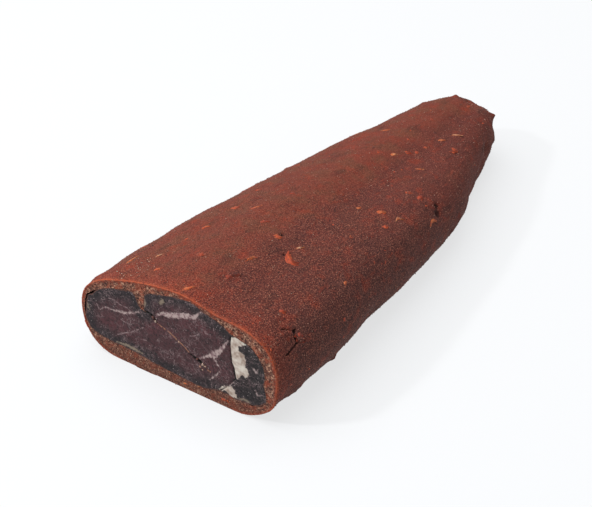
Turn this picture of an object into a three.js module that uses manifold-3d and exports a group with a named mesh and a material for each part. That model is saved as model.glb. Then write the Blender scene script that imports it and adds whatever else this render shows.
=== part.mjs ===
// Half a stick of basturma: pressed, air-dried beef in a jacket of spice paste, sliced across its thick end.
// Millimetres, +Z up. The underside lies on z = 0, the sliced face looks along -Y, and the piece tapers
// along +Y to a blunt end that the paste closes. The origin is under the middle of the whole piece.
import * as THREE from 'three';
import { LoftGeometry } from 'three/addons/geometries/LoftGeometry.js';
import { ImprovedNoise } from 'three/addons/math/ImprovedNoise.js';
import { mergeVertices } from 'three/addons/utils/BufferGeometryUtils.js';
import Module from 'manifold-3d';

// Driving dimensions.
const length = 262;
const cutWidth = 112;
const cutHeight = 53.5;
const bluntRound = 26; // length over which the blunt end closes
const gap = 0.3; // clearance between the paste and the meat
const endPaste = 6; // paste beyond the blunt end of the meat
const pasteGrows = 3; // how much thicker the paste is at the blunt end than at the sliced face
const lumpHeight = 1.1;
const lumpLength = 34;
const smallLumps = { finer: 2.3, lower: 0.5 }; // a second set of lumps, as shares of the first
const calmLength = 20; // the lumps grow from nothing over this length behind the sliced face

// Half widths and height along the piece, as shares of those at the sliced face, at even steps.
const leftShares = [1, 0.955, 0.88, 0.78, 0.675, 0.505, 0.34];
const rightShares = [1, 1.06, 0.99, 0.94, 0.85, 0.59, 0.4];
const heightShares = [1, 0.99, 0.93, 0.84, 0.76, 0.7, 0.64];

// A shallow valley that the press left in the top: its line and depth at the same even steps.
const valleyLine = [2, 4, 8, 12, 12, 6, 0];
const valleyDepth = [0, 0.9, 1.8, 2.2, 1.8, 0.8, 0];
const valleyHalfWidth = 12;
const valleyFades = [0.45, 0.7]; // the shares of the height between which it fades in on the sides

// The crease in the top of the meat, which the paste fills.
const crease = { at: -20.4, halfWidth: 2.5, depth: 9.5, lean: 1.8, length: 60, squareness: 2.6 };

// The two outlines of the sliced face, each point as shares of the half width and of the height.
const pasteOutline = [
  [-1, 0.45], [-0.95, 0.63], [-0.79, 0.775], [-0.48, 0.9], [-0.16, 0.98], [0.13, 1],
  [0.41, 0.94], [0.7, 0.91], [0.91, 0.8], [1, 0.56], [0.98, 0.34], [0.86, 0.11],
  [0.64, 0], [0.2, 0], [-0.28, 0], [-0.68, 0], [-0.86, 0.07], [-0.965, 0.22],
];
const meatOutline = [
  [-0.955, 0.45], [-0.92, 0.57], [-0.82, 0.66], [-0.68, 0.735], [-0.5, 0.795], [-0.45, 0.81],
  [-0.41, 0.82], [-0.37, 0.83], [-0.33, 0.84], [-0.28, 0.86], [-0.11, 0.91], [0.16, 0.96],
  [0.31, 0.905], [0.45, 0.87], [0.56, 0.8], [0.66, 0.785], [0.76, 0.75], [0.84, 0.65],
  [0.885, 0.53], [0.865, 0.4], [0.895, 0.3], [0.87, 0.22], [0.79, 0.165], [0.62, 0.145],
  [0.43, 0.155], [0.23, 0.105], [0.04, 0.12], [-0.22, 0.133], [-0.45, 0.168], [-0.73, 0.168],
  [-0.91, 0.225], [-0.955, 0.34],
];

// Fineness of the surfaces.
const pastePoints = 60;
const pasteRows = 28;
const meatPoints = 2 * meatOutline.length;
const meatRows = 13;
const endRows = 6;
const endSquareness = 2.4; // 2 closes the blunt end as an ellipse, and more is blunter
const lastTurn = 82; // degrees of the closing curve that are built, before a small flat cap

const front = -length / 2;
const noise = new ImprovedNoise();

// A smooth curve through evenly spaced values, read at a share from 0 to 1.
function along(values) {
  const curve = new THREE.SplineCurve(values.map((value, i) => new THREE.Vector2(i, value)));
  return (share) => curve.getPoint(THREE.MathUtils.clamp(share, 0, 1)).y;
}

const leftAt = along(leftShares);
const rightAt = along(rightShares);
const heightAt = along(heightShares);
const valleyAt = along(valleyLine);
const depthAt = along(valleyDepth);

// The outline's points at the sliced face, clockwise for someone who looks at that face from behind.
function outlinePoints(outline, count, spaced) {
  const corners = outline.map(([x, z]) => new THREE.Vector3((x * cutWidth) / 2, 0, z * cutHeight));
  const curve = new THREE.CatmullRomCurve3(corners, true, 'centripetal');
  const points = spaced ? curve.getSpacedPoints(count) : curve.getPoints(count);
  return points.slice(0, count).map((point) => new THREE.Vector2(point.x, point.z));
}

// Moves each point of a closed outline outward by a distance, or inward by a negative one.
function offset(points, distance) {
  return points.map((point, i) => {
    const before = points[(i + points.length - 1) % points.length];
    const after = points[(i + 1) % points.length];
    const way = new THREE.Vector2().subVectors(after, before).normalize();
    return new THREE.Vector2(point.x - way.y * distance, point.y + way.x * distance);
  });
}

// The outline as it is at a distance from the sliced face: narrower, lower and pressed in along the valley.
function sectionAt(points, distance) {
  const share = distance / length;
  return points.map((point) => {
    const x = point.x * (point.x < 0 ? leftAt(share) : rightAt(share));
    const upper = THREE.MathUtils.smoothstep(point.y / cutHeight, ...valleyFades);
    const off = (x - valleyAt(share)) / valleyHalfWidth;
    return new THREE.Vector2(x, point.y * heightAt(share) - upper * depthAt(share) * Math.exp(-off * off));
  });
}

// Rows of one closed form: even steps to where the blunt end starts to close, then steps round its curve.
function rowsOf(formLength, rows) {
  const straight = formLength - bluntRound;
  const list = [];
  for (let i = 0; i < rows; i += 1) list.push({ distance: (straight * i) / rows, shrink: 1 });
  for (let i = 0; i <= endRows; i += 1) {
    const turn = THREE.MathUtils.degToRad((lastTurn * i) / endRows);
    const power = 2 / endSquareness;
    list.push({ distance: straight + bluntRound * Math.sin(turn) ** power, shrink: Math.cos(turn) ** power });
  }
  return list;
}

// Draws a section in towards its own middle, for the closing of the blunt end.
function shrunk(points, shrink) {
  const box = new THREE.Box2().setFromPoints(points);
  const middle = box.getCenter(new THREE.Vector2());
  return points.map((point) => point.clone().sub(middle).multiplyScalar(shrink).add(middle));
}

// Low lumps in the paste, as a distance outward.
function lump(x, y, z) {
  const calm = THREE.MathUtils.smoothstep(y - front, 0, calmLength);
  const noiseAt = (size) => noise.noise(x / size, y / size, z / size);
  const large = noiseAt(lumpLength);
  const small = noiseAt(lumpLength / smallLumps.finer);
  return calm * lumpHeight * (large + smallLumps.lower * small);
}

function pasteSection(base, { distance, shrink }) {
  const y = front + distance;
  const points = shrunk(sectionAt(base, distance), shrink);
  const outward = offset(points, 1);
  return points.map((point, i) => {
    const raised = point.clone().lerp(outward[i], lump(point.x, y, point.y));
    return new THREE.Vector3(raised.x, y, Math.max(0, raised.y));
  });
}

// The crease is deepest at the sliced face and runs out behind it.
function creased(points, distance) {
  const left = 1 - THREE.MathUtils.smoothstep(distance, 0, crease.length); // how much of its depth is left
  return points.map((point) => {
    const off = (point.x - crease.at) / crease.halfWidth;
    const share = point.y > cutHeight / 2 ? left * Math.exp(-(Math.abs(off) ** crease.squareness)) : 0;
    return new THREE.Vector2(point.x + share * crease.lean, point.y - share * crease.depth);
  });
}

function meatSection(base, { distance, shrink }, grow) {
  const thinned = offset(sectionAt(base, distance), (-pasteGrows * distance) / length);
  const points = offset(shrunk(creased(thinned, distance), shrink), grow);
  return points.map((point) => new THREE.Vector3(point.x, front + distance, point.y));
}

const pasteBase = outlinePoints(pasteOutline, pastePoints, true);
const meatBase = outlinePoints(meatOutline, meatPoints, false);

function pasteForm() {
  return rowsOf(length, pasteRows).map((row) => pasteSection(pasteBase, row));
}

function meatForm(grow) {
  return rowsOf(length - endPaste, meatRows).map((row) => meatSection(meatBase, row, grow));
}

// The space in the paste: the meat's form with the gap all round, run out through the sliced face.
function hollowForm() {
  const sections = meatForm(gap);
  const through = sections[0].map((point) => new THREE.Vector3(point.x, point.y - 1, point.z));
  sections[sections.length - 1].forEach((point) => { point.y += gap; });
  return [through, ...sections];
}

function closedGeometry(sections) {
  const loft = new LoftGeometry(sections, { capStart: true, capEnd: true });
  const geometry = new THREE.BufferGeometry().copy(loft);
  geometry.deleteAttribute('normal');
  geometry.deleteAttribute('uv');
  return mergeVertices(geometry, 1e-4);
}

function solid(geometry) {
  const vertProperties = geometry.attributes.position.array;
  const triVerts = new Uint32Array(geometry.index.array);
  return new wasm.Manifold(new wasm.Mesh({ numProp: 3, vertProperties, triVerts }));
}

function geometryOf(manifold) {
  const mesh = manifold.getMesh();
  const geometry = new THREE.BufferGeometry();
  geometry.setAttribute('position', new THREE.BufferAttribute(mesh.vertProperties, 3));
  geometry.setIndex(new THREE.BufferAttribute(mesh.triVerts, 1));
  geometry.computeVertexNormals();
  return geometry;
}

const wasm = await Module();
wasm.setup();

// The jacket of spice paste, open only at the sliced face.
function spiceCoat() {
  const paste = solid(closedGeometry(pasteForm()));
  const hollow = solid(closedGeometry(hollowForm()));
  const geometry = geometryOf(paste.subtract(hollow));
  const material = new THREE.MeshStandardMaterial({ color: 0x7a3f30, roughness: 0.85, metalness: 0 });
  return new THREE.Mesh(geometry, material);
}

// The pressed muscle with its seams of fat, grown together as one piece.
function beef() {
  const geometry = closedGeometry(meatForm(0));
  geometry.computeVertexNormals();
  const material = new THREE.MeshStandardMaterial({ color: 0x3a2426, roughness: 0.6, metalness: 0 });
  return new THREE.Mesh(geometry, material);
}

const piece = new THREE.Group();
const jacket = spiceCoat();
jacket.name = 'spice_coat';
const meat = beef();
meat.name = 'beef';
piece.add(jacket, meat);

// Sets the middle of the piece's width over the origin.
const across = new THREE.Box3().setFromObject(piece).getCenter(new THREE.Vector3());
piece.position.x = -across.x;

export default piece;
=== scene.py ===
import math
import random
import time

import bmesh
import bpy
import numpy as np
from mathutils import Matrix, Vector, noise
from mathutils.bvhtree import BVHTree
from mathutils.kdtree import KDTree


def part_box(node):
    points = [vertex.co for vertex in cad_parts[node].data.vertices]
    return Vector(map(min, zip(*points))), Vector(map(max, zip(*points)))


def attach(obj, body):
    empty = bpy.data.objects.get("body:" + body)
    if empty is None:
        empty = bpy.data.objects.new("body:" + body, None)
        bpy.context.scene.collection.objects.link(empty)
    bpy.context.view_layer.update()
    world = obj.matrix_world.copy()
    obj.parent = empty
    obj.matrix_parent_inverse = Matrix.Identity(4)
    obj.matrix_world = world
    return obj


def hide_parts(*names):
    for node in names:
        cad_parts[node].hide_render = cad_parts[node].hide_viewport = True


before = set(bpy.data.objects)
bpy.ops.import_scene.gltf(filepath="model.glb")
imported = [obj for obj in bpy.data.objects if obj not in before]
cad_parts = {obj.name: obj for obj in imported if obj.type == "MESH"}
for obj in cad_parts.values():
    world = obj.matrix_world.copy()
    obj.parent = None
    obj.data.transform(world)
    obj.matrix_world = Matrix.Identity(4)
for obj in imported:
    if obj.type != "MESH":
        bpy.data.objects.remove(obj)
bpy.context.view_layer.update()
mm = 0.001
flat = 0.01 * mm  # a vertex this close to a plane lies in it
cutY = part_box("spice_coat")[0].y  # the sliced face lies in this plane and looks along -Y
ringCuts = 4  # further cuts in each edge of the ring round the meat, alike in the paste and in the meat
ringRounds = 4  # rounds of smoothing of that ring
skinPaint, cutPaint, insidePaint = 0, 1, 2  # places of the coat's materials
facePaint, hiddenPaint = 0, 1  # places of the meat's materials
scene = bpy.context.scene
started = time.time()


def report(stage):
    print(f"{stage}, {time.time() - started:.0f} s in")


def place(x, y, z):
    return Vector((x, y, z)) * mm


def facesOf(geometry):
    return [item for item in geometry if isinstance(item, bmesh.types.BMFace)]


def smoothStep(value, low, high):
    share = min(1.0, max(0.0, (value - low) / (high - low)))
    return share * share * (3.0 - 2.0 * share)


def lumps(point, size):
    return noise.noise(point / (size * mm))


def nodeCopy(node):
    bm = bmesh.new()
    bm.from_mesh(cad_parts[node].data)
    bmesh.ops.remove_doubles(bm, verts=bm.verts, dist=0.005 * mm)
    return bm


def newPiece(name, bm, materials):
    mesh = bpy.data.meshes.new(name)
    bm.to_mesh(mesh)
    bm.free()
    for material in materials:
        mesh.materials.append(material)
    piece = bpy.data.objects.new(name, mesh)
    scene.collection.objects.link(piece)
    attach(piece, "root")
    return piece


# ring of vertices in order, from the edges of one closed loop
def ringOf(edges):
    left = set(edges)
    edge = edges[0]
    ring = [edge.verts[0]]
    while left:
        left.discard(edge)
        following = edge.other_vert(ring[-1])
        if following is ring[0]:
            break
        ring.append(following)
        edge = next(e for e in following.link_edges if e in left)
    return ring


# cuts flat faces into squares by planes at even steps, sweeping along x and then along z
def cutIntoSquares(bm, faces, step):
    for axis in (Vector((1, 0, 0)), Vector((0, 0, 1))):
        reach = [v.co.dot(axis) for f in faces for v in f.verts]
        done, ahead = [], faces
        at = min(reach) + step
        while at < max(reach) and ahead:
            geometry = dict.fromkeys(ahead)
            for face in ahead:
                geometry.update(dict.fromkeys([*face.edges, *face.verts]))
            cut = bmesh.ops.bisect_plane(
                bm, geom=list(geometry), dist=0.002 * mm, plane_co=axis * at, plane_no=axis)
            ahead = []
            for face in facesOf(cut["geom"]):
                (ahead if face.calc_center_median().dot(axis) > at else done).append(face)
            at += step
        faces = done + ahead
    return faces


class Wire:
    def __init__(self, finish, socket):
        self.finish = finish
        self.socket = socket

    def math(self, operation, *values):
        return self.finish.node("ShaderNodeMath", {"operation": operation}, values)

    def __add__(self, other):
        return self.math("ADD", self, other)

    def __radd__(self, other):
        return self.math("ADD", other, self)

    def __sub__(self, other):
        return self.math("SUBTRACT", self, other)

    def __rsub__(self, other):
        return self.math("SUBTRACT", other, self)

    def __mul__(self, other):
        return self.math("MULTIPLY", self, other)

    def __rmul__(self, other):
        return self.math("MULTIPLY", other, self)

    def __abs__(self):
        return self.math("ABSOLUTE", self)

    def most(self, other):
        return self.math("MAXIMUM", self, other)

    # 0 below low, 1 above high, and smooth between; low may be the higher of the two
    def fade(self, low, high):
        flipped = low > high
        if flipped:
            low, high = high, low
        ends = {"From Min": low, "From Max": high, "To Min": float(flipped), "To Max": float(not flipped)}
        return self.finish.node("ShaderNodeMapRange", {"interpolation_type": "SMOOTHSTEP"},
                                {"Value": self, **ends})


class Finish:
    def __init__(self, name, roughness):
        self.material = bpy.data.materials.new(name)
        self.material.use_nodes = True
        self.tree = self.material.node_tree
        self.shader = self.tree.nodes["Principled BSDF"]
        self.shader.inputs["Roughness"].default_value = roughness
        self.at = self.node("ShaderNodeTexCoord", {}, {}, "Object")

    def node(self, kind, settings, inputs, output=0):
        made = self.tree.nodes.new(kind)
        for name, value in settings.items():
            setattr(made, name, value)
        pairs = inputs.items() if isinstance(inputs, dict) else enumerate(inputs)
        for key, value in pairs:
            if isinstance(value, Wire):
                self.tree.links.new(value.socket, made.inputs[key])
            else:
                made.inputs[key].default_value = value
        return Wire(self, made.outputs[output])

    # noise whose lumps are about this many millimetres long
    def noise(self, size, detail=2.0, at=None, output="Fac"):
        inputs = {"Vector": at or self.at, "Scale": 1.0 / (size * mm), "Detail": detail}
        return self.node("ShaderNodeTexNoise", {}, inputs, output)

    def cells(self, size, output, at=None, feature="F1"):
        inputs = {"Vector": at or self.at, "Scale": 1.0 / (size * mm)}
        return self.node("ShaderNodeTexVoronoi", {"feature": feature}, inputs, output)

    # one speck in a share of the cells, of a radius given in millimetres
    def specks(self, size, share, radius):
        luck = self.node("ShaderNodeSeparateColor", {}, {"Color": self.cells(size, "Color")})
        near = self.cells(size, "Distance").fade(radius / size, 0.6 * radius / size)
        return near * luck.fade(1.0 - share, 1.02 - share)

    def attribute(self, name):
        return self.node("ShaderNodeAttribute", {"attribute_name": name}, {}, "Fac")

    def shift(self, at, by, amount):
        scaled = self.node("ShaderNodeVectorMath", {"operation": "SCALE"}, {0: by, "Scale": amount})
        return self.node("ShaderNodeVectorMath", {"operation": "ADD"}, [at, scaled])

    def blend(self, first, second, share):
        return self.node("ShaderNodeMix", {"data_type": "RGBA"}, {0: share, 6: first, 7: second}, 2)

    def ramp(self, value, stops):
        made = self.node("ShaderNodeValToRGB", {}, {"Fac": value})
        elements = made.socket.node.color_ramp.elements
        while len(elements) < len(stops):
            elements.new(1.0)
        for element, (position, colour) in zip(elements, stops):
            element.position = position
            element.color = colour
        return made

    def bump(self, height, distance):
        return self.node("ShaderNodeBump", {}, {"Height": height, "Distance": distance * mm}, "Normal")

    def finish(self, **sockets):
        for name, value in sockets.items():
            socket = self.shader.inputs[name.replace("_", " ")]
            if isinstance(value, Wire):
                self.tree.links.new(value.socket, socket)
            else:
                socket.default_value = value
        return self.material


studioGain = 1.6  # how much brighter than its own colour a surface looks in the studio's light


# the colour that looks like this on a screen, from 0 to 255, when it lies in the studio's light
def tint(red, green, blue):
    def linear(part):
        part = part / 255.0
        return (part / 12.92 if part <= 0.04045 else ((part + 0.055) / 1.055) ** 2.4) / studioGain
    return (linear(red), linear(green), linear(blue), 1.0)


pasteTints = {
    "warm": tint(131, 60, 45),
    "olive": tint(122, 68, 49),
    "cool": tint(108, 52, 45),
    "shadedWall": tint(98, 60, 55),
    "brick": tint(156, 58, 36),
    "pale": tint(206, 132, 106),
    "dark": tint(46, 24, 22),
    "lip": tint(196, 96, 62),
}


def pasteSkin():
    f = Finish("pasteSkin", 0.82)
    across = f.node("ShaderNodeSeparateXYZ", {}, {0: f.at}) + (f.noise(22, 2) - 0.5) * 30 * mm
    cool = across.fade(2 * mm, 15 * mm)
    back = f.node("ShaderNodeSeparateXYZ", {}, {0: f.at}, "Y")
    drawn = f.node("ShaderNodeMapping", {}, {"Vector": f.at, "Scale": (1, 0.3, 1)})
    grain = f.noise(0.6, 3)
    fine = f.noise(0.4, 2)
    middle = f.noise(8, 3)
    nearCut = back.fade(cutY + 18 * mm, cutY + 1 * mm)
    coarse = (1.0 - 0.5 * back.fade(-50 * mm, 50 * mm)) * (0.8 + 0.2 * cool.most(nearCut))
    colour = f.blend(pasteTints["warm"], pasteTints["olive"], f.noise(10, 3).fade(0.42, 0.62) * 0.8)
    colour = f.blend(colour, pasteTints["cool"], cool * (0.35 + 0.9 * f.noise(16, 2)))
    # painted shade: the right side, turned away from the key light, darker and greyer
    colour = f.blend(colour, pasteTints["shadedWall"], across.fade(36 * mm, 56 * mm) * 0.7)
    colour = f.blend(colour, pasteTints["brick"], middle.fade(0.52, 0.72) * 0.55 + nearCut * 0.4)
    colour = f.blend(colour, pasteTints["brick"], f.noise(2.4, 2, drawn).fade(0.58, 0.75) * 0.4)
    colour = f.blend(colour, pasteTints["dark"], f.noise(5, 3, drawn).fade(0.46, 0.26) * 0.4)
    colour = f.blend(colour, pasteTints["dark"], grain.fade(0.5, 0.34) * (0.75 + 0.15 * cool) * coarse)
    colour = f.blend(colour, pasteTints["pale"], grain.fade(0.54, 0.68) * 0.5 * coarse)
    colour = f.blend(colour, pasteTints["dark"], fine.fade(0.46, 0.32) * 0.65 * coarse)
    colour = f.blend(colour, pasteTints["dark"], f.specks(1.3, 0.4, 0.36) * (0.5 + 0.3 * cool))
    colour = f.blend(colour, pasteTints["pale"], f.specks(1.05, 0.35, 0.25) * (0.35 + 0.5 * cool))
    lip = back.fade(cutY + 2.4 * mm, cutY) * f.noise(1.5, 3).fade(0.3, 0.66)
    colour = f.blend(colour, pasteTints["lip"], lip * 0.6)
    # painted shade in pits, cracks and shade patches, partly also dark paste in the pits and cracks
    darkAndShadeMask = (f.attribute("pitDarkAndShade") + 0.5 * (grain - 0.5)).fade(0.4, 1.1)
    colour = f.blend(colour, pasteTints["dark"], darkAndShadeMask * 0.85)
    height = grain + 0.8 * f.noise(2.2, 2, drawn)
    return f.finish(Base_Color=colour, Roughness=0.76 + 0.2 * f.noise(3, 2), Normal=f.bump(height, 0.5),
                    Specular_IOR_Level=0.2)


def pasteCut():
    f = Finish("pasteCut", 0.85)
    grain = f.noise(0.65, 3)
    edge = f.attribute("skin") + 1.5 * (f.noise(1.5, 3) - 0.5)
    low = f.node("ShaderNodeSeparateXYZ", {}, {0: f.at}, "Z").fade(10 * mm, 4 * mm)
    coarse = f.noise(1.05, 4)
    colour = f.ramp(coarse, [(0.33, tint(62, 40, 34)), (0.45, tint(116, 74, 62)), (0.55, tint(154, 106, 86)),
                             (0.68, tint(216, 168, 140))])
    colour = f.blend(colour, tint(166, 76, 50), f.noise(4.5, 2).fade(0.46, 0.62) * 0.6)
    colour = f.blend(colour, tint(112, 64, 50), low * 0.62)
    colour = f.blend(colour, tint(36, 22, 20), grain.fade(0.46, 0.3) * (0.7 - 0.1 * low))
    colour = f.blend(colour, tint(24, 15, 14), f.specks(1.1, 0.4, 0.36))
    colour = f.blend(colour, tint(236, 190, 156), f.specks(0.8, 0.35, 0.24) * 0.75)
    patchy = 0.7 * f.noise(2.2, 3) + 0.25 - 0.1 * low
    colour = f.blend(colour, pasteTints["brick"], edge.fade(2.2, 0.4) * patchy)
    # partly painted highlight: a thin bright band on the rounded outer edge of the cut, weaker at the bottom,
    # over the coat's orange-red skin
    colour = f.blend(colour, pasteTints["lip"], edge.fade(0.9, 0.2) * (1.4 * f.noise(3, 3) - 0.1 - 0.2 * low))
    return f.finish(Base_Color=colour, Roughness=0.75 + 0.2 * grain, Normal=f.bump(grain, 0.35),
                    Specular_IOR_Level=0.2)


def pasteInside():
    f = Finish("pasteInside", 0.9)
    return f.finish(Base_Color=f.ramp(f.noise(2, 3), [(0.3, tint(50, 28, 24)), (0.7, tint(84, 46, 36))]))


# where the fat, the cracks and the fine veins lie in the sliced face, as x and z in millimetres
faceMap = {
    "pink": [
        {"line": [(-46.3, 24.5), (-44, 26.5), (-42, 27.5), (-37, 28), (-31.5, 29), (-26, 31), (-20.5, 34.5)],
         "half": [0.15, 0.35, 0.5, 0.5, 0.8, 0.7, 0.3]},
        {"line": [(-12.5, 33.3), (-12, 36), (-9.5, 37.8), (-5.2, 39), (-1, 40.5), (3, 42.1), (9.2, 43.9),
                  (14, 49)],
         "half": [0.2, 0.5, 0.7, 1.6, 1.4, 1.7, 1.3, 0.15]},
        {"line": [(12, 22.1), (14.4, 23.9), (17.9, 26.2), (19.8, 27.5), (22.5, 30.3), (26, 35.3), (28, 39)],
         "half": [0.15, 0.5, 1.0, 1.9, 1.5, 0.9, 0.3]},
        {"line": [(20, 26), (21.5, 23.4), (23.5, 21), (22.4, 18.5), (19.7, 15.1), (17.4, 12.3)],
         "half": [1.0, 0.5, 0.2, 0.2, 0.5, 0.35]},
        {"line": [(41.3, 29.6), (43, 27.8), (44, 29.8)], "half": [0.4, 0.8, 0.3]},
        {"line": [(31.3, 18.2), (29.7, 15.7), (27.6, 13.1), (25.4, 12.2)], "half": [0.15, 0.35, 0.45, 0.3]},
        {"line": [(42.4, 17.6), (43.4, 15.4), (45, 15.6)], "half": [0.3, 0.5, 0.2]},
    ],
    "tan": [
        {"line": [(-37, 9.9), (-31, 10.4), (-25.5, 10.2), (-21.5, 9.4)], "half": [0.3, 0.7, 0.8, 0.3]},
        {"line": [(-19, 41.2), (-19, 39.5), (-19.4, 37.2)], "half": [0.9, 1.0, 0.3]},
        {"line": [(-8.3, 45.5), (-9.5, 43.5)], "half": [1.0, 0.7]},
        {"line": [(-53.6, 25.3), (-53.1, 23), (-52.4, 22.3)], "half": [0.3, 0.7, 0.4]},
        {"line": [(33.1, 8.3), (36.6, 9.4), (39.5, 9)], "half": [0.4, 0.6, 0.3]},
    ],
    "cream": [
        [(29.7, 41.2), (32.3, 43.2), (34.7, 42.6), (37.6, 40.9), (33.8, 38.4), (33.4, 36), (36.3, 35.6),
         (37.4, 32), (37.4, 28.4), (39, 25.7), (38.5, 23.3), (37.2, 22.1), (35, 23.4), (33, 19.1), (31.3, 20),
         (31, 24.7), (29.8, 27.6), (29.5, 32.6), (29.2, 36.7)],
        [(26.9, 12.3), (29, 13.7), (30.7, 12.3), (32.7, 8.4), (29.7, 7.4), (27.6, 8.7), (25.5, 9.9)],
        [(21.8, 8.9), (24.2, 11.5), (27.4, 13), (26.8, 11.2), (23.6, 8.2)],
    ],
    "crack": [(-18.6, 35.2), (-15.4, 34.9), (-13.4, 32.3), (-11.6, 31.2), (-8.4, 30.2), (-4.8, 29.3),
              (-2.1, 27.7), (0.6, 26.2), (3.5, 24.5), (7, 21.6), (9.5, 20.6), (12.9, 19.5), (16.3, 17.1),
              (17.6, 16.8)],
    "holes": [
        {"line": [(-18.3, 35.3), (-15.4, 34.8), (-13.2, 32.8), (-12, 31.5)], "half": [0.3, 0.5, 0.45, 0.1]},
        {"line": [(6.6, 21.9), (9.5, 20.9), (11.9, 20.1), (13.2, 19.1)], "half": [0.25, 0.6, 0.8, 0.4]},
    ],
    "seam": {"line": [(29.3, 42), (28.8, 39), (29.3, 32.6), (29.6, 27.6), (30.7, 24.5), (30.9, 21.2),
                      (31.4, 18.8), (29.1, 15.5), (26.9, 12.6), (23, 8.6)],
             "half": [0.1, -0.1, -0.1, 0.0, 0.15, 0.38, 0.28, -0.1, -0.1, 0.2]},
    "veins": [
        [(-47.7, 27.3), (-46.5, 24.6)], [(-22.2, 17.7), (-18.8, 18.6)],
        [(-40.5, 33.6), (-36.8, 34), (-33.5, 32.7), (-29.4, 32.7), (-27, 31.4)],
        [(-44.9, 30.9), (-42.3, 32.2)], [(-37.6, 21.9), (-36.1, 20.6)],
        [(-33.7, 24.4), (-30.9, 23.6), (-28, 23.7)], [(-24.4, 22), (-20.3, 25.4)],
        [(-36.1, 14.4), (-33.5, 16), (-31.3, 17.6), (-27.8, 19.3), (-25.2, 21.6)],
        [(-12.6, 20.9), (-11.6, 23)], [(14.5, 40.1), (15.7, 37.6), (18.3, 38.1)],
        [(6.5, 32.3), (9.2, 33.4), (11.8, 35.5)], [(20.1, 42.5), (20.5, 39.7)], [(-2.1, 24.4), (0.2, 26.3)],
    ],
}


meatTints = {
    "heart": tint(78, 45, 49),
    "red": tint(95, 48, 54),
    "rim": tint(52, 41, 45),
    "dry": tint(48, 44, 45),
    "deep": tint(23, 15, 19),
    "bundle": tint(100, 75, 79),
    "vein": tint(154, 129, 130),
    "speck": tint(206, 190, 186),
    "pinkDim": tint(138, 106, 110),
    "pink": tint(204, 180, 176),
    "tan": tint(158, 140, 120),
    "creamDim": tint(162, 138, 122),
    "cream": tint(208, 191, 178),
    "creamBright": tint(236, 226, 212),
    "paste": tint(112, 70, 58),
    "crackEdge": tint(182, 128, 100),
    "holeShade": tint(14, 8, 8),
}


def meatFace():
    f = Finish("meatFace", 0.5)
    at = f.shift(f.at, f.noise(2.6, 2, output="Color"), 0.9 * mm)
    ragged = f.noise(1.1, 3, at) - 0.5
    rim = f.attribute("rim") + 6.0 * (f.noise(7, 2) - 0.5)
    small = (f.attribute("smallMuscle") + 0.8 * ragged).fade(-0.3, 0.5)
    colour = f.blend(meatTints["rim"], meatTints["heart"], rim.fade(1.5, 8.5))
    colour = f.blend(colour, meatTints["red"], f.noise(12, 2).fade(0.45, 0.68) * rim.fade(4, 9) * 0.8)
    colour = f.blend(colour, meatTints["dry"], small * 0.9)
    colour = f.blend(colour, meatTints["deep"], f.noise(1.2, 3, at).fade(0.52, 0.32) * 0.75)
    colour = f.blend(colour, meatTints["deep"], f.noise(4.5, 2).fade(0.5, 0.3) * 0.4)
    outer = rim.fade(9, 2).most(small)
    colour = f.blend(colour, meatTints["deep"], f.noise(1.9, 3, at).fade(0.53, 0.4) * outer * 0.75)
    bundles = f.cells(2.3, "Distance", at, "DISTANCE_TO_EDGE").fade(0.07, 0.0) * f.noise(6, 2).fade(0.4, 0.65)
    colour = f.blend(colour, meatTints["bundle"], bundles * 0.4)
    veinPlaces = f.noise(8, 1).fade(0.42, 0.6)
    veins = abs(f.noise(3.2, 2, at) - 0.5).fade(0.02, 0.004) * veinPlaces
    fine = abs(f.noise(1.6, 2, at) - 0.5).fade(0.035, 0.006) * f.noise(5, 1).fade(0.45, 0.65)
    drawn = (f.attribute("vein") + 0.45 * ragged).fade(0.42, 0.12) * f.noise(1.5, 2).fade(0.3, 0.5)
    colour = f.blend(colour, meatTints["vein"], (veins * 0.6).most(fine * 0.55).most(drawn * 0.8))
    colour = f.blend(colour, meatTints["speck"], f.specks(1.7, 0.3, 0.24) * 0.6)
    colour = f.blend(colour, meatTints["speck"], f.specks(1.2, 0.3, 0.26) * outer * 0.6)
    pink = (f.attribute("pink") + 2.4 * ragged + 0.3).fade(0.6, -0.4)
    pinkTint = f.blend(meatTints["pinkDim"], meatTints["pink"], f.noise(1.5, 3).fade(0.36, 0.58))
    colour = f.blend(colour, pinkTint, pink * (0.62 + 0.5 * f.noise(2.5, 2)))
    tan = (f.attribute("tan") + 2.2 * ragged).fade(0.5, -0.5)
    colour = f.blend(colour, meatTints["tan"], tan * 0.75)
    cream = (f.attribute("cream") + 2.0 * ragged).fade(0.3, -0.3)
    creamTint = f.ramp(f.noise(2.6, 3), [(0.32, meatTints["creamDim"]), (0.5, meatTints["cream"]),
                                         (0.68, meatTints["creamBright"])])
    colour = f.blend(colour, creamTint, cream)
    line = (f.attribute("crack") + 0.5 * ragged).fade(0.5, 0.12)
    colour = f.blend(colour, meatTints["crackEdge"], line * f.noise(1.2, 2).fade(0.38, 0.54) * 0.95)
    paste = (f.attribute("rim") + 1.6 * ragged).fade(0.6, 0.1)
    colour = f.blend(colour, meatTints["paste"], paste * 0.85)
    # painted shade: near black in the holes of the crack, and a thin dark line along the seam
    dark = (f.attribute("dark") + 0.7 * ragged).fade(0.4, 0.05)
    colour = f.blend(colour, meatTints["holeShade"], dark)
    fat = pink.most(cream)
    height = f.noise(1.3, 3, at) * (1.0 - 0.6 * fat) + 0.3 * f.noise(0.5, 2)
    return f.finish(Base_Color=colour, Roughness=(0.5 + 0.22 * f.noise(2.2, 3)) - 0.08 * fat,
                    Normal=f.bump(height, 0.25), Specular_IOR_Level=0.22)


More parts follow.
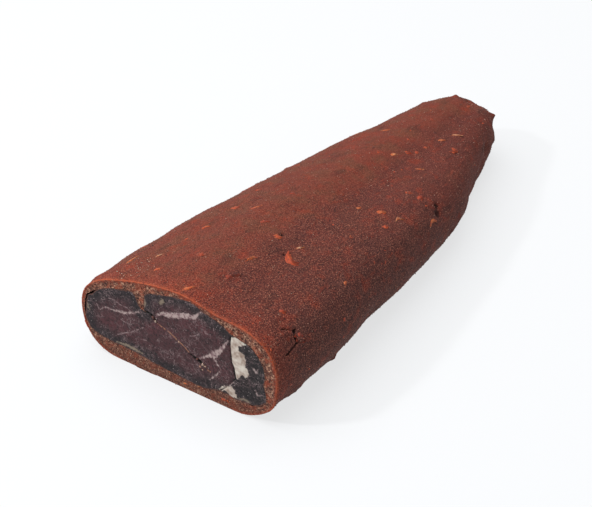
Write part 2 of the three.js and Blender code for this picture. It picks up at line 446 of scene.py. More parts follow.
def flakeSkin():
    f = Finish("chilliSkin", 0.6)
    shade = f.attribute("shade") + 0.8 * (f.noise(1.3, 3) - 0.5)
    colour = f.ramp(shade, [(0.0, tint(104, 48, 38)), (0.2, tint(156, 56, 34)), (0.45, tint(208, 82, 38)),
                            (0.72, tint(218, 120, 64)), (1.0, tint(220, 172, 136))])
    colour = f.blend(colour, tint(118, 52, 40), f.noise(0.9, 3).fade(0.48, 0.32) * 0.7)
    colour = f.blend(colour, tint(112, 56, 44), f.noise(0.5, 2).fade(0.5, 0.4) * 0.55)
    return f.finish(Base_Color=colour, Roughness=0.55 + 0.25 * f.noise(1.5, 2),
                    Normal=f.bump(f.noise(0.7, 3), 0.25), Specular_IOR_Level=0.3)


def grainSkin():
    f = Finish("grainSkin", 0.75)
    shade = f.attribute("shade")
    colour = f.ramp(shade, [(0.0, tint(64, 36, 32)), (0.3, tint(110, 60, 50)), (0.6, tint(146, 88, 72)),
                            (0.85, tint(186, 138, 114)), (1.0, tint(214, 190, 170))])
    return f.finish(Base_Color=f.blend(colour, tint(110, 62, 52), f.noise(0.5, 2) * 0.3), Roughness=0.7,
                    Normal=f.bump(f.noise(0.4, 2), 0.1))


coat = {
    "roundings": 1,  # rounds of smooth subdivision of the plain form
    "cuts": 2,  # further cuts in each edge
    "relaxing": 5,  # rounds of smoothing before the kneading
    "tipDome": 0.5,
    "lumps": [(13, 0.34), (5.5, 0.16), (2.6, 0.09)],  # length and height of each set, in millimetres
    "cutLumps": 0.5,  # share of the lumps that is left at the cut
    "calmFoot": 3.0,  # the lumps fade out over this height above the underside
    "falloff": 2.2,  # how steeply a round mark fades towards its radius
    "edgeSway": [(3.2, 0.4), (1.3, 0.18)],  # length and amount of the raggedness round the meat
    "cutSquares": 0.5,
    "lip": 0.5,
    "cutRoughness": 0.22,
    "voids": {"spacing": 2.1, "radius": 0.34, "depth": 0.7},  # small hollows in the cut
    # round marks pressed in or standing out: place, radius and height
    "marks": [
        ((52, -118, 40), 4.6, -0.8), ((54, -110, 38), 2.6, 0.9), ((51, -117, 45), 2.2, 0.5),
        ((46.5, 17.5, 32), 2.8, -1.8), ((44, 20, 34.5), 2.0, -2.0), ((9, -63, 50), 1.6, -1.7),
        ((19, -75, 50), 1.2, -1.2), ((20, 104, 33), 2.4, -0.6), ((34, -30, 43), 1.6, -0.8),
        ((-12, 98, 34), 4.0, 0.7), ((-17, 106, 31), 3.0, 0.8), ((-5, 120, 33), 2.8, 1.3),
        ((3, 121, 32), 5.0, -1.4), ((17, 121, 27), 3.0, 1.8), ((22, 117, 23), 3.4, -2.2),
        ((24, 113, 18), 3.4, 0.9), ((29, 98, 22), 7.0, -2.1), ((22, 116, 9), 6.0, -2.0),
        ((32, 88, 19), 6.0, -0.9), ((47, 38, 18), 3.0, 1.0), ((47, 30, 14), 4.2, -1.8),
        ((53, -85, 11), 2.6, 1.2), ((54, -92, 10), 3.2, -0.5), ((50, 20, 12), 3.5, 0.6),
        ((26, 103, 8), 9, -2.2), ((19, 122, 21), 4.0, -1.5), ((25, 112, 16), 6.0, -0.8),
        ((33, 86, 12), 12, -1.6), ((40, 66, 14), 13, -1.8), ((45, 45, 8), 8, -1.0), ((54, -52, 15), 14, -1.3),
        ((53, -113, 9), 10, 1.5), ((54, -131, 11), 11, 1.5), ((-50, -125, 36), 5, 0.8),
        ((-30, -40, 44), 2.0, 0.5), ((-44, -88, 38), 2.4, 0.5), ((-40, 10, 30), 2.8, 0.6),
        ((-34, 60, 22), 2.6, 0.7),
    ],
    # painted shade on the paste, in darker patches such as the valley along the top and the right shoulder:
    # place, radius and strength
    "shadePatches": [((16, -63, 49), 9, 0.62), ((20, -77, 49), 4, 0.6), ((45, 15, 34), 6, 0.7),
               ((36, -98, 48), 8, 0.5),
               ((45, -60, 38), 12, 0.36), ((40, 60, 24), 12, 0.5), ((-34, -96, 44), 6, 0.5)],
    # cracks in the paste: the line each follows, its half width and its depth
    "cracks": [
        ([(47.5, -116.5, 45), (49.4, -114.6, 44.1), (49.8, -113, 43.8), (50.9, -111.9, 42.8),
          (52.2, -113.4, 41.2), (53.7, -114, 38.4), (53.8, -117.2, 37.2), (53.5, -122.1, 36.2)], 0.5, 1.5),
        ([(50.6, -112, 43), (52, -113, 41.5), (53.4, -113.6, 39)], 0.9, 0.9),
    ],
    # places where the paste is cut finer for its sharper marks, with their radii
    "finer": [((52, -116, 40), 8.5), ((9, -63, 50), 3.5), ((19, -75, 50), 3.0), ((45.5, 18.5, 33), 4.5),
              ((-5, 121, 32), 4.0), ((18, 121, 25), 5.0)],
}


# splits the node's mesh into its outside, open at the underside and the sliced face, and its hollow
def coatParts():
    bm = nodeCopy("spice_coat")
    front = [f for f in bm.faces if all(v.co.y < cutY + flat for v in f.verts)]
    bmesh.ops.delete(bm, geom=front, context="FACES")
    under = [f for f in bm.faces if all(v.co.z < flat for v in f.verts)]
    outside, edgeOf = {}, [v for f in under for v in f.verts]
    while edgeOf:
        vert = edgeOf.pop()
        if vert not in outside:
            outside[vert] = True
            edgeOf.extend(e.other_vert(vert) for e in vert.link_edges)
    hollow = bm.copy()
    hollow.verts.ensure_lookup_table()
    drop = [hollow.verts[v.index] for v in outside]
    bmesh.ops.delete(hollow, geom=drop, context="VERTS")
    bmesh.ops.delete(bm, geom=[v for v in bm.verts if v not in outside], context="VERTS")
    bmesh.ops.delete(bm, geom=[f for f in under if f.is_valid], context="FACES")
    bmesh.ops.join_triangles(bm, faces=bm.faces, angle_face_threshold=math.radians(50),
                             angle_shape_threshold=math.radians(60))
    return bm, hollow


# closes the little flat cap of the blunt end as a low dome
def domeTip(bm):
    top = max(v.co.y for v in bm.verts)
    cap = [f for f in bm.faces if all(v.co.y > top - flat for v in f.verts)]
    whole = bmesh.ops.dissolve_faces(bm, faces=cap)["region"]
    bmesh.ops.poke(bm, faces=whole, offset=coat["tipDome"] * mm)


def rounded(bm, levels):
    mesh = bpy.data.meshes.new("rounding")
    bm.to_mesh(mesh)
    bm.free()
    holder = bpy.data.objects.new("rounding", mesh)
    scene.collection.objects.link(holder)
    modifier = holder.modifiers.new("round", "SUBSURF")
    modifier.levels = modifier.render_levels = levels
    modifier.boundary_smooth = "PRESERVE_CORNERS"
    shaped = holder.evaluated_get(bpy.context.evaluated_depsgraph_get())
    fine = bmesh.new()
    fine.from_mesh(shaped.to_mesh())
    bpy.data.objects.remove(holder)
    bpy.data.meshes.remove(mesh)
    return fine


def relax(bm, rounds):
    inner = [v for v in bm.verts if not v.is_boundary]
    for _ in range(rounds):
        bmesh.ops.smooth_vert(bm, verts=inner, factor=0.5, use_axis_x=True, use_axis_y=True, use_axis_z=True)


def cutFiner(bm):
    for centre, radius in coat["finer"]:
        middle = place(*centre)
        near = [f for f in bm.faces if (f.calc_center_median() - middle).length < radius * mm]
        edges = list(dict.fromkeys(e for f in near for e in f.edges))
        bmesh.ops.subdivide_edges(bm, edges=edges, cuts=2, use_grid_fill=True)


def awayFromLine(at, line):
    best = 1e3
    for start, end in zip(line, line[1:]):
        start, way = Vector(start), Vector(end) - Vector(start)
        along = min(1.0, max(0.0, (at / mm - start).dot(way) / way.length_squared))
        best = min(best, (at / mm - start - way * along).length)
    return best


def kneadOutside(bm):
    # this layer holds painted shade for the paste: darker in small pits and in cracks, where it is partly
    # also dark paste lodged there, and in the shade patches
    pitDarkAndShade = bm.verts.layers.float.new("pitDarkAndShade")
    bm.normal_update()
    moves = []
    for vert in bm.verts:
        at = vert.co
        onCut = at.y < cutY + flat
        height = sum(tall * lumps(at, size) for size, tall in coat["lumps"])
        height *= coat["cutLumps"] if onCut else 1.0
        darkAndShade = 0.0
        for centre, radius, tall in coat["marks"]:
            near = (at - place(*centre)).length / (radius * mm)
            if near < 1.6:
                part = tall * (1.0 + 0.35 * lumps(at, 1.8)) * math.exp(-coat["falloff"] * near * near)
                height += part
                if radius < 3:
                    darkAndShade -= min(part, 0.0)
        # painted shade patches, such as the valley and the shoulder, added to the pit layer
        for centre, radius, strength in coat["shadePatches"]:
            near = (at - place(*centre)).length / (radius * mm)
            darkAndShade += strength * math.exp(-coat["falloff"] * near ** 2)
        for line, half, depth in coat["cracks"]:
            if (at - place(*line[0])).length < 16 * mm:
                strayed = at + noise.noise_vector(at / (2.0 * mm)) * 0.6 * mm
                part = math.exp(-(awayFromLine(strayed, line) / (half * (1.0 + 0.5 * lumps(at, 3)))) ** 2)
                part *= depth * (1.0 + 0.7 * lumps(at, 1.4))
                height -= part
                darkAndShade += part
        vert[pitDarkAndShade] = darkAndShade
        way = vert.normal.copy()
        if onCut:
            way.y = 0.0
        moves.append(way * height * mm * smoothStep(at.z, 0.0, coat["calmFoot"] * mm))
    for vert, move in zip(bm.verts, moves):
        vert.co += move
        vert.co.z = max(vert.co.z, 0.0)
        vert.co.y = max(vert.co.y, cutY)


# directions outward in the cut's plane, one for each vertex of a ring
def outwardOf(ring):
    turns = [(ring[(i + 1) % len(ring)].co - ring[i - 1].co).normalized() for i in range(len(ring))]
    area = sum(v.co.x * w.co.z - w.co.x * v.co.z for v, w in zip(ring, ring[1:] + ring[:1]))
    side = 1 if area > 0 else -1
    return [Vector((turn.z, 0, -turn.x)) * side for turn in turns]


# the edge round the meat, made smoother and a little ragged, alike in the paste and in the meat
def softenRing(ring, rounds, reach=None):
    for _ in range(rounds):
        middles = [(ring[i - 1].co + ring[(i + 1) % len(ring)].co) / 2 for i in range(len(ring))]
        for vert, middle in zip(ring, middles):
            vert.co = vert.co.lerp(middle, 0.5)
    outward = outwardOf(ring)
    for vert, way in zip(ring, outward):
        sway = Vector()
        for size, amount in coat["edgeSway"]:
            sway += noise.noise_vector(vert.co / (size * mm)) * amount
        if reach:
            vert.co += way * reach(vert.co) * mm
        vert.co += Vector((sway.x, 0, sway.z)) * mm


def meetsCut(edge):
    return all(v.co.y < cutY + flat for v in edge.verts)


def makeCoat():
    outside, hollow = coatParts()
    domeTip(outside)
    fine = rounded(outside, coat["roundings"])
    bmesh.ops.subdivide_edges(fine, edges=fine.edges, cuts=coat["cuts"], use_grid_fill=True)
    relax(fine, coat["relaxing"])
    cutFiner(fine)
    kneadOutside(fine)
    report("coat kneaded")
    bmesh.ops.subdivide_edges(hollow, edges=[e for e in hollow.edges if e.is_boundary], cuts=ringCuts)
    ring = ringOf([e for e in hollow.edges if e.is_boundary])
    softenRing(ring, ringRounds)
    carried = bpy.data.meshes.new("carried")
    hollow.to_mesh(carried)
    hollow.free()
    for face in fine.faces:
        face.material_index = skinPaint
    firstNew = len(fine.faces)
    fine.from_mesh(carried)
    bpy.data.meshes.remove(carried)
    fine.faces.ensure_lookup_table()
    for face in fine.faces[firstNew:]:
        face.material_index = insidePaint
    closeUnderside(fine)
    closeCut(fine)
    return fine


def closeUnderside(bm):
    low = [e for e in bm.edges if e.is_boundary and all(v.co.z < 2 * flat for v in e.verts)]
    foot = dict.fromkeys(v for e in low for v in e.verts)
    ends = [v for v in foot if sum(e in low for e in v.link_edges) == 1]
    low.append(bm.edges.new(ends))
    floorFace = bmesh.ops.contextual_create(bm, geom=low)["faces"]
    for face in floorFace:
        face.material_index = skinPaint
    bmesh.ops.triangulate(bm, faces=floorFace)


# turns the sharp outer edge of the cut into a narrow rounded lip
def makeLip(bm, edges):
    ring = ringOf(edges)
    outward = {vert: way for vert, way in zip(ring, outwardOf(ring))}
    new = bmesh.ops.extrude_edge_only(bm, edges=edges)["geom"]
    for face in facesOf(new):
        face.material_index = cutPaint
    for vert in [v for v in new if isinstance(v, bmesh.types.BMVert)]:
        edge = next(e for e in vert.link_edges if e.other_vert(vert) in outward)
        old = edge.other_vert(vert)
        vert.co -= outward[old] * coat["lip"] * mm
        old.co.y += coat["lip"] * 0.7 * mm
    return [e for e in new if isinstance(e, bmesh.types.BMEdge) and e.is_boundary]


def closeCut(bm):
    skin = bm.verts.layers.float.new("skin")
    rim = [e for e in bm.edges if e.is_boundary and meetsCut(e)]
    outer = [e for e in rim if any(f.material_index == skinPaint for f in e.link_faces)]
    inner = [e for e in rim if e not in set(outer)]
    tree = ringTree([e.verts[0] for e in outer] + [e.verts[1] for e in outer])
    lipEdges = makeLip(bm, outer)
    filled = facesOf(bmesh.ops.triangle_fill(bm, edges=lipEdges + inner, use_beauty=True,
                                             normal=(0, -1, 0))["geom"])
    for face in filled:
        face.material_index = cutPaint
        face.normal_update()
        if face.normal.y > 0:
            face.normal_flip()
    faces = cutIntoSquares(bm, filled, coat["cutSquares"] * mm)
    holes = coat["voids"]
    sliced = set(faces)
    for vert in dict.fromkeys(v for f in faces for v in f.verts):
        at = vert.co
        away = tree.find(at)[2] / mm
        vert[skin] = away
        if all(f in sliced for f in vert.link_faces):
            depth = coat["cutRoughness"] * (1.0 + lumps(at, 1.1) + 0.7 * lumps(at, 3.0))
            depth *= smoothStep(away, 0.3, 1.1)
            near = noise.voronoi(at / (holes["spacing"] * mm))[0][0] * holes["spacing"]
            depth += holes["depth"] * (1.0 - smoothStep(near, 0.0, 1.6 * holes["radius"]))
            vert.co.y += depth * mm
    for edge in bm.edges:
        kinds = {f.material_index for f in edge.link_faces}
        edge.smooth = kinds != {cutPaint, insidePaint}


def ringTree(verts):
    tree = KDTree(len(verts))
    for i, vert in enumerate(verts):
        tree.insert(vert.co, i)
    tree.balance()
    return tree


meat = {
    "squares": 0.42,
    "unevenness": [(9, 0.12), (2.2, 0.05)],
    "crackDepth": 0.3,
    "crackWidth": 0.3,
    "seamDepth": 0.6,
    "seamWidth": 0.4,
    "holeDepth": 1.8,
    "creamStands": 0.1,
    "smallMuscleSinks": 0.2,
    # how far the edge stands into the paste, how much less in places, and how much it has shrunk on the left
    "edgeReach": 0.26,
    "edgeSwing": 0.22,
    "shrinkage": 0.85,
}


# distance from each point to a line of points, less a half width that runs along the line
def lineDistance(points, line, half=None):
    best = np.full(len(points), 1e3)
    half = half or [0.0] * len(line)
    for (start, end), (thin, thick) in zip(zip(line, line[1:]), zip(half, half[1:])):
        start, way = np.array(start, float), np.array(end, float) - np.array(start, float)
        along = np.clip((points - start) @ way / (way @ way), 0, 1)
        away = np.linalg.norm(points - start - along[:, None] * way, axis=1)
        best = np.minimum(best, away - thin - (thick - thin) * along)
    return best


def nearestLine(points, lines):
    return np.min([lineDistance(points, each["line"], each["half"]) for each in lines], axis=0)


# distance to an outline, negative inside it
def outlineDistance(points, outline):
    away = lineDistance(points, outline + outline[:1])
    inside = np.zeros(len(points), bool)
    for (x1, z1), (x2, z2) in zip(outline, outline[1:] + outline[:1]):
        crosses = (z1 > points[:, 1]) != (z2 > points[:, 1])
        where = x1 + (points[:, 1] - z1) * (x2 - x1) / ((z2 - z1) or 1e-9)
        inside ^= crosses & (points[:, 0] < where)
    return np.where(inside, -away, away)


# how far the meat's edge stands out towards the paste, in millimetres
def reachOfEdge(at):
    x, z = at.x / mm, at.z / mm
    shrunk = smoothStep(x, -44, -50) * smoothStep(z, 17, 22) * (1 - smoothStep(z, 33, 37))
    swing = meat["edgeSwing"] * smoothStep(lumps(at, 7), 0.25, 0.5)
    return meat["edgeReach"] - swing - meat["shrinkage"] * shrunk


def makeMeat():
    bm = nodeCopy("beef")
    cap = [f for f in bm.faces if all(v.co.y < cutY + flat for v in f.verts)]
    whole = bmesh.ops.dissolve_faces(bm, faces=cap)["region"][0]
    bmesh.ops.subdivide_edges(bm, edges=list(whole.edges), cuts=ringCuts)
    whole = max(bm.faces, key=lambda f: len(f.verts))
    softenRing([loop.vert for loop in whole.loops], ringRounds, reachOfEdge)
    outline = [(v.co.x / mm, v.co.z / mm) for v in whole.verts]
    for face in bm.faces:
        face.material_index = hiddenPaint
    whole.material_index = facePaint
    filled = bmesh.ops.triangulate(bm, faces=[whole])["faces"]
    cutIntoSquares(bm, filled, meat["squares"] * mm)
    report("meat face cut")
    names = ("pink", "tan", "cream", "crack", "dark", "vein", "rim", "smallMuscle")
    layers = [bm.verts.layers.float.new(name) for name in names]
    verts = [v for v in bm.verts if any(f.material_index == facePaint for f in v.link_faces)]
    points = np.array([(v.co.x / mm, v.co.z / mm) for v in verts])
    pink = nearestLine(points, faceMap["pink"])
    tan = nearestLine(points, faceMap["tan"])
    cream = np.min([outlineDistance(points, o) for o in faceMap["cream"]], axis=0)
    crack = lineDistance(points, faceMap["crack"])
    holes = nearestLine(points, faceMap["holes"])
    seam = nearestLine(points, [faceMap["seam"]])
    veins = np.min([lineDistance(points, line) for line in faceMap["veins"]], axis=0)
    rim = np.abs(outlineDistance(points, outline))
    line = np.array(sorted(faceMap["seam"]["line"], key=lambda point: point[1]), float)
    small = points[:, 0] - np.interp(points[:, 1], line[:, 1], line[:, 0])
    # the layer dark marks where painted shade goes: the holes of the crack and the seam
    values = (pink, tan, cream, crack, np.minimum(holes, seam + 0.1), veins, rim, small)
    for layer, row in zip(layers, values):
        for vert, value in zip(verts, row):
            vert[layer] = float(value)
    for i, vert in enumerate(verts):
        if rim[i] < 0.01:  # the edge itself stays where it meets the paste
            continue
        at = vert.co.copy()
        depth = sum(tall * lumps(at, size) for size, tall in meat["unevenness"])
        depth += meat["crackDepth"] * math.exp(-(crack[i] / meat["crackWidth"]) ** 2)
        depth += meat["seamDepth"] * math.exp(-(max(seam[i], 0) / meat["seamWidth"]) ** 2)
        depth += meat["holeDepth"] * (1.0 - smoothStep(holes[i], -0.5, 0.35))
        depth += meat["smallMuscleSinks"] * smoothStep(small[i], -0.2, 0.8)
        depth -= meat["creamStands"] * (1.0 - smoothStep(cream[i], -0.4, 0.2))
        vert.co.y += depth * mm
    for edge in bm.edges:
        edge.smooth = len({f.material_index for f in edge.link_faces}) == 1
    return bm


flakes = {
    # place, length, width, turn in degrees, bend, curl of the edge, and shade from deep red at 0 to tan at 1,
    # with lengths in millimetres
    "large": [
        ((24, -77, 49), 9.8, 3.2, 160, 0.24, 0.5, 0.5), ((9, -66, 51), 4.8, 3.2, 20, 0.05, 0.3, 0.62),
        ((10, -90, 52), 6.8, 2.0, 62, 0.1, 0.2, 0.6), ((11, -105, 52), 7.0, 3.0, 70, 0.2, 0.3, 0.3),
        ((-27, -51, 45), 3.6, 2.6, 60, 0.05, 0.2, 0.58), ((-16, -49, 48), 6.0, 1.2, 62, 0.05, 0.2, 0.66),
        ((-3, -59, 50), 5.4, 2.2, 45, 0.05, 0.2, 0.42), ((-27, -74, 46), 4.6, 2.0, 60, 0.1, 0.3, 0.55),
        ((21, -66, 49), 3.8, 1.3, 60, 0.2, 0.5, 0.95), ((-10, -100, 52), 3.2, 2.4, 30, 0.05, 0.2, 0.6),
        ((2, -125, 53), 5.6, 1.8, 62, 0.05, 0.3, 0.72), ((-21, -118, 50), 4.2, 1.6, 60, 0.05, 0.2, 0.6),
        ((-14, 63, 36), 5.2, 1.2, 36, 0.05, 0.2, 0.78), ((18, 82, 35), 5.4, 1.8, 36, 0.2, 0.8, 0.95),
        ((25, 67, 36), 4.4, 4.4, 10, 0.05, 0.5, 0.6), ((15, 72, 36), 4.0, 1.4, 50, 0.1, 0.4, 0.7),
        ((5, 41, 39), 4.2, 2.0, 60, 0.05, 0.3, 0.85),
        ((9, 49, 38), 4.6, 2.0, 40, 0.05, 0.1, 0.46), ((22, 39, 38), 5.2, 1.3, 34, 0.05, 0.2, 0.72),
        ((31, 14, 40), 3.6, 1.9, 40, 0.05, 0.2, 0.58), ((37, 15, 39), 5.4, 2.6, 110, 0.1, 0.2, 0.34),
        ((31, -11, 43), 4.8, 2.8, 30, 0.1, 0.4, 0.7), ((40, -9, 41), 4.8, 1.2, 60, 0.35, 0.6, 0.9),
        ((48, 10, 32), 5.6, 1.4, 75, 0.2, 0.5, 0.7), ((39, -20, 42), 3.2, 2.2, 80, 0.05, 0.2, 0.55),
        ((42, -109, 48), 3.4, 2.2, 30, 0.1, 0.2, 0.45), ((53.2, -111.6, 39.8), 4.4, 5.2, 95, 0.05, 0.6, 0.27),
        ((13, 60, 37), 3.4, 1.3, 50, 0.05, 0.2, 0.5),
        ((20, -14, 43), 3.0, 1.6, 60, 0.05, 0.2, 0.72), ((-30, -28, 42), 4.0, 1.6, 60, 0.05, 0.2, 0.5),
        ((-41, -112, 43), 8.4, 1.3, 82, 0.05, 0.3, 0.8), ((-30, -106, 47), 3.6, 1.2, 70, 0.05, 0.2, 1.0),
        # the last four show in the cut, in the paste under the meat
        ((25.5, -131, 3.8), 5.2, 1.0, 0, 0.05, 0.1, 0.62), ((-6.7, -131, 6.0), 1.7, 1.1, 0, 0.05, 0.1, 0.8),
        ((2.8, -131, 3.0), 3.2, 0.6, 0, 0.05, 0.1, 0.75), ((10.4, -131, 5.0), 1.4, 0.8, 0, 0.05, 0.1, 0.8),
    ],
    "largeCorners": 26,
    "hidden": 26,  # middling flakes on the left side
    "hiddenLengths": (2.5, 6.5),
    "hiddenWidths": (1.2, 3.0),
    "small": 170,
    "smallLengths": (1.0, 3.2),
    "smallCorners": 9,
    "seed": 11,
    "thickness": 0.4,
    "proud": 0.3,
    "rimShade": -0.14,
}

grains = {
    "count": 5200,
    "radii": (0.13, 0.34),
    "cutGrains": 420,
    "seed": 5,
    # pale crumbs strewn on the left of the top, near the cut
    "crumbs": 36,
    "crumbPlace": (-33, -120, 48),
    "crumbSpread": (5, 5.5),
    "crumbRadii": (0.15, 0.42),
    # crumbs lodged by the cracks of the sliced face: place, radius and shade
    "lodged": [
        ((13.4, -130.9, 19.2), 0.9, 0.95), ((12, -130.9, 17.2), 0.7, 0.85),
        ((13.1, -130.9, 16), 0.8, 0.9), ((14.8, -130.9, 18.6), 0.6, 0.95),
        ((-14.3, -130.8, 33.6), 0.8, 0.2), ((-12.9, -130.9, 31.9), 0.6, 1.0),
        ((10.2, -130.8, 20.8), 0.5, 0.5), ((-19.5, -130.9, 35.6), 0.6, 0.75),
        ((-4.4, -130.9, 28.9), 0.5, 0.85), ((0.2, -130.9, 26), 0.6, 0.9),
        ((-1.2, -130.9, 26.8), 0.5, 0.85), ((16.6, -130.9, 17.1), 0.5, 0.7),
    ],
}


# many small shapes are made in lots that are joined at the end, because a large mesh is slow to add to
class Heap:
    lot = 60

    def __init__(self):
        self.meshes = []
        self.made = 0
        self.start()

    def start(self):
        self.bm = bmesh.new()
        self.shade = self.bm.verts.layers.float.new("shade")

    def close(self):
        mesh = bpy.data.meshes.new("lot")
        self.bm.to_mesh(mesh)
        self.bm.free()
        self.meshes.append(mesh)

    def room(self):
        if self.made and self.made % self.lot == 0:
            self.close()
            self.start()
        self.made += 1
        return self.bm, self.shade

    def whole(self):
        self.close()
        bm = bmesh.new()
        for mesh in self.meshes:
            bm.from_mesh(mesh)
            bpy.data.meshes.remove(mesh)
        return bm


# a thin irregular leaf of chilli skin, bent in its plane, that follows the ground it lies on
def addFlake(bm, shade, tree, at, way, size, value, corners):
    long, wide, bend, curl = size
    wide *= 1.25  # because the ragged edge takes some of the width
    before = len(bm.verts)
    rim = bmesh.ops.create_circle(bm, cap_ends=True, segments=corners, radius=0.5)["verts"]
    cap = list(rim[0].link_faces)
    seedPoint = at * 7000  # gives each flake an edge of its own
    for vert in rim:
        ragged = 1.0 + 0.5 * noise.noise(vert.co * 3.1 + seedPoint)
        ragged += 0.3 * noise.noise(vert.co * 8 + seedPoint)
        vert.co = Vector((vert.co.x * long * ragged, vert.co.y * wide * ragged, 0)) * mm
    bmesh.ops.inset_region(bm, faces=cap, thickness=0.17 * wide * mm, use_even_offset=True)
    leaf = dict.fromkeys([f for v in rim for f in v.link_faces] + cap)
    bmesh.ops.solidify(bm, geom=list(leaf), thickness=flakes["thickness"] * mm)
    new = list(bm.verts)[before:]
    middle = sum(v.co.z for v in new) / len(new)
    normal = tree.find_nearest(at)[1]
    side = way.cross(normal).normalized()
    along = normal.cross(side).normalized()
    for vert in new:
        x, y, z = vert.co / mm
        out = min(1.0, math.hypot(2 * x / long, 2 * y / wide))
        y += bend * (4 * x * x / long - 0.3 * long)
        spot, up, _, _ = tree.find_nearest(at + (along * x + side * y) * mm)
        high = flakes["proud"] * (1 - 1.1 * out * out) if z * mm > middle else -flakes["thickness"]
        rough = noise.noise(Vector((x, y, 0)) / 0.9 + seedPoint)
        high += curl * smoothStep(out, 0.5, 1.0) * max(0.0, x / long + y / wide) + 0.1 * rough
        vert.co = spot + up * high * mm
        vert[shade] = value + flakes["rimShade"] * smoothStep(out, 0.5, 1.0) + 0.3 * rough


def spots(rng, faces, count):
    picks = rng.choices(faces, weights=[f.calc_area() for f in faces], k=count)
    return [(f.calc_center_median(), f.normal.copy()) for f in picks]


def makeFlakes(tree, coatMesh):
    rng = random.Random(flakes["seed"])
    heap = Heap()
    for centre, long, wide, turn, bend, curl, value in flakes["large"]:
        way = Vector((math.cos(math.radians(turn)), math.sin(math.radians(turn)), 0))
        at = tree.find_nearest(place(*centre))[0]
        addFlake(*heap.room(), tree, at, way, (long, wide, bend, curl), value, flakes["largeCorners"])
    for at, _ in spots(rng, list(filter(isLeftSkin, coatMesh.faces)), flakes["hidden"]):
        way = Vector((0.2, rng.uniform(-1, 1), rng.uniform(-1, 1))).normalized()
        size = (rng.uniform(*flakes["hiddenLengths"]), rng.uniform(*flakes["hiddenWidths"]),
                rng.uniform(0, 0.2), rng.uniform(0.1, 0.5))
        addFlake(*heap.room(), tree, at, way, size, rng.triangular(0.3, 0.9, 0.55), flakes["largeCorners"])
    for at, _ in spots(rng, list(filter(isOpenSkin, coatMesh.faces)), flakes["small"]):
        long = rng.uniform(*flakes["smallLengths"]) * rng.uniform(0.6, 1.0)
        way = Vector((rng.uniform(-1, 1), rng.uniform(-1, 1), rng.uniform(-0.5, 0.5))).normalized()
        size = (long, long * rng.uniform(0.3, 0.7), rng.uniform(0, 0.15), rng.uniform(0, 0.3))
        addFlake(*heap.room(), tree, at, way, size, rng.triangular(-0.1, 0.8, 0.1), flakes["smallCorners"])
    bm = heap.whole()
    bmesh.ops.recalc_face_normals(bm, faces=bm.faces)
    return bm


def isOpenSkin(face):
    return face.material_index == skinPaint and face.calc_center_median().z > 2.5 * mm


def isLeftSkin(face):
    return isOpenSkin(face) and face.normal.x < -0.5


def isCutPaste(face):
    return face.material_index == cutPaint


def addGrain(bm, shade, ground, radius, value, rng):
    at, normal = ground
    verts = bmesh.ops.create_icosphere(bm, subdivisions=1, radius=radius * mm)["verts"]
    squash = [rng.uniform(0.7, 1.25) for _ in range(3)]
    shift = at + normal * radius * mm * rng.uniform(0.0, 0.45)
    for vert in verts:
        rough = 1.0 + rng.uniform(-0.18, 0.18)
        vert.co = Vector([c * s * rough for c, s in zip(vert.co, squash)]) + shift
        vert[shade] = value


def makeGrains(tree, coatMesh):
    rng = random.Random(grains["seed"])
    heap = Heap()
    for ground in spots(rng, list(filter(isOpenSkin, coatMesh.faces)), grains["count"]):
        radius = rng.triangular(*grains["radii"], 0.16)
        addGrain(*heap.room(), ground, radius, rng.triangular(0, 1, 0.55), rng)
    # the cut's faces are made in any order, so they are sorted by their vertices, whose order is fixed
    coatMesh.verts.index_update()
    cutPaste = sorted(filter(isCutPaste, coatMesh.faces), key=lambda f: sorted(v.index for v in f.verts))
    for ground in spots(rng, cutPaste, grains["cutGrains"]):
        radius = rng.triangular(*grains["radii"], 0.2)
        addGrain(*heap.room(), ground, radius, rng.triangular(0, 1, 0.6), rng)
    for centre, radius, value in grains["lodged"]:
        addGrain(*heap.room(), (place(*centre), Vector((0, 1, 0))), radius, value, rng)
    (x, y, z), (across, along) = grains["crumbPlace"], grains["crumbSpread"]
    for _ in range(grains["crumbs"]):
        ground = tree.find_nearest(place(rng.gauss(x, across), rng.gauss(y, along), z))[:2]
        addGrain(*heap.room(), ground, rng.uniform(*grains["crumbRadii"]), rng.uniform(0.75, 1.0), rng)
    return heap.whole()


coatMesh = makeCoat()
coatTree = BVHTree.FromBMesh(coatMesh)
flakeMesh = makeFlakes(coatTree, coatMesh)
report("flakes laid")
grainMesh = makeGrains(coatTree, coatMesh)
report("grains strewn")
coatPiece = newPiece("spice_coat_paste", coatMesh, [pasteSkin(), pasteCut(), pasteInside()])
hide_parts("spice_coat")
meatPiece = newPiece("sliced_beef", makeMeat(), [meatFace(), pasteInside()])
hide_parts("beef")
flakePiece = newPiece("chilli_flakes", flakeMesh, [flakeSkin()])
grainPiece = newPiece("spice_grains", grainMesh, [grainSkin()])
for piece in (coatPiece, meatPiece, flakePiece, grainPiece):
    piece.data.polygons.foreach_set("use_smooth", [True] * len(piece.data.polygons))
report("pieces made")


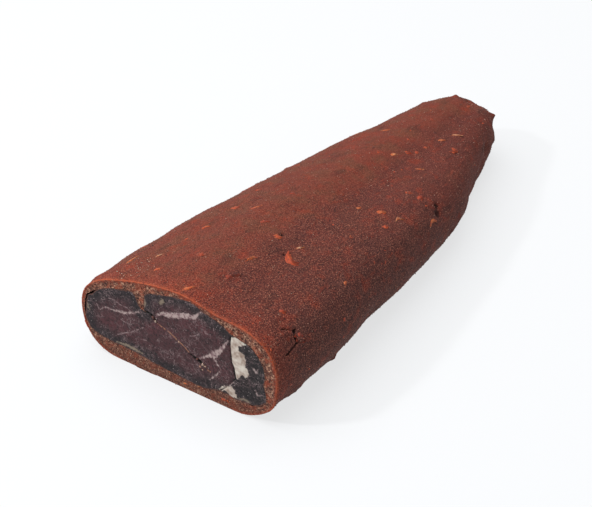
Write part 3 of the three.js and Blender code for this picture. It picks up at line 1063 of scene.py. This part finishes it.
studio = {
    "floorSize": 6.0,
    "floorTint": (0.15, 0.154, 0.162, 1.0),
    "floorGlow": 0.71,
    "glowTint": (0.985, 0.995, 1.0, 1.0),
    "skyStrength": 0.5,
    # each softbox: the way towards it, as shares of the camera's right, of its forward and of up, then its
    # distance, size and power
    "softboxes": {
        "overhead": ((-0.25, 0.1, 1.0), 1.6, 2.0, 35.0),
        "key": ((-1.18, -0.32, 1.0), 1.5, 0.11, 11.5),
    },
    "camera": {"azimuth": 34.84, "elevation": 35.0, "distance": 0.896, "lens": 112.4},
    "target": place(0.8, -39.5, 22.4),
}


def makeFloor():
    bm = bmesh.new()
    bmesh.ops.create_grid(bm, x_segments=1, y_segments=1, size=studio["floorSize"] / 2)
    mesh = bpy.data.meshes.new("floor")
    bm.to_mesh(mesh)
    bm.free()
    floor = bpy.data.objects.new("floor", mesh)
    scene.collection.objects.link(floor)
    f = Finish("floorPaint", 0.9)
    mesh.materials.append(f.finish(Base_Color=studio["floorTint"], Emission_Color=studio["glowTint"],
                                   Emission_Strength=studio["floorGlow"]))


def makeCamera():
    view = studio["camera"]
    turn, tilt = math.radians(view["azimuth"]), math.radians(view["elevation"])
    back = Vector((math.sin(turn) * math.cos(tilt), -math.cos(turn) * math.cos(tilt), math.sin(tilt)))
    data = bpy.data.cameras.new("camera")
    data.lens = view["lens"]
    data.sensor_width = 36.0
    camera = bpy.data.objects.new("camera", data)
    camera.location = studio["target"] + back * view["distance"]
    camera.rotation_euler = (-back).to_track_quat("-Z", "Y").to_euler()
    scene.collection.objects.link(camera)
    scene.camera = camera
    return Vector((math.cos(turn), math.sin(turn), 0)), Vector((-math.sin(turn), math.cos(turn), 0))


def makeLights(right, forward):
    for name, (way, distance, size, power) in studio["softboxes"].items():
        across, ahead, above = way
        towards = (right * across + forward * ahead + Vector((0, 0, above))).normalized()
        data = bpy.data.lights.new(name, "AREA")
        data.shape = "SQUARE"
        data.size = size
        data.energy = power
        light = bpy.data.objects.new(name, data)
        light.location = studio["target"] + towards * distance
        light.rotation_euler = (-towards).to_track_quat("-Z", "Y").to_euler()
        scene.collection.objects.link(light)
    world = bpy.data.worlds.new("studio")
    world.use_nodes = True
    background = world.node_tree.nodes["Background"]
    background.inputs["Color"].default_value = (1, 1, 1, 1)
    background.inputs["Strength"].default_value = studio["skyStrength"]
    scene.world = world


scene.view_settings.view_transform = "Standard"
makeFloor()
makeLights(*makeCamera())
report("studio set")
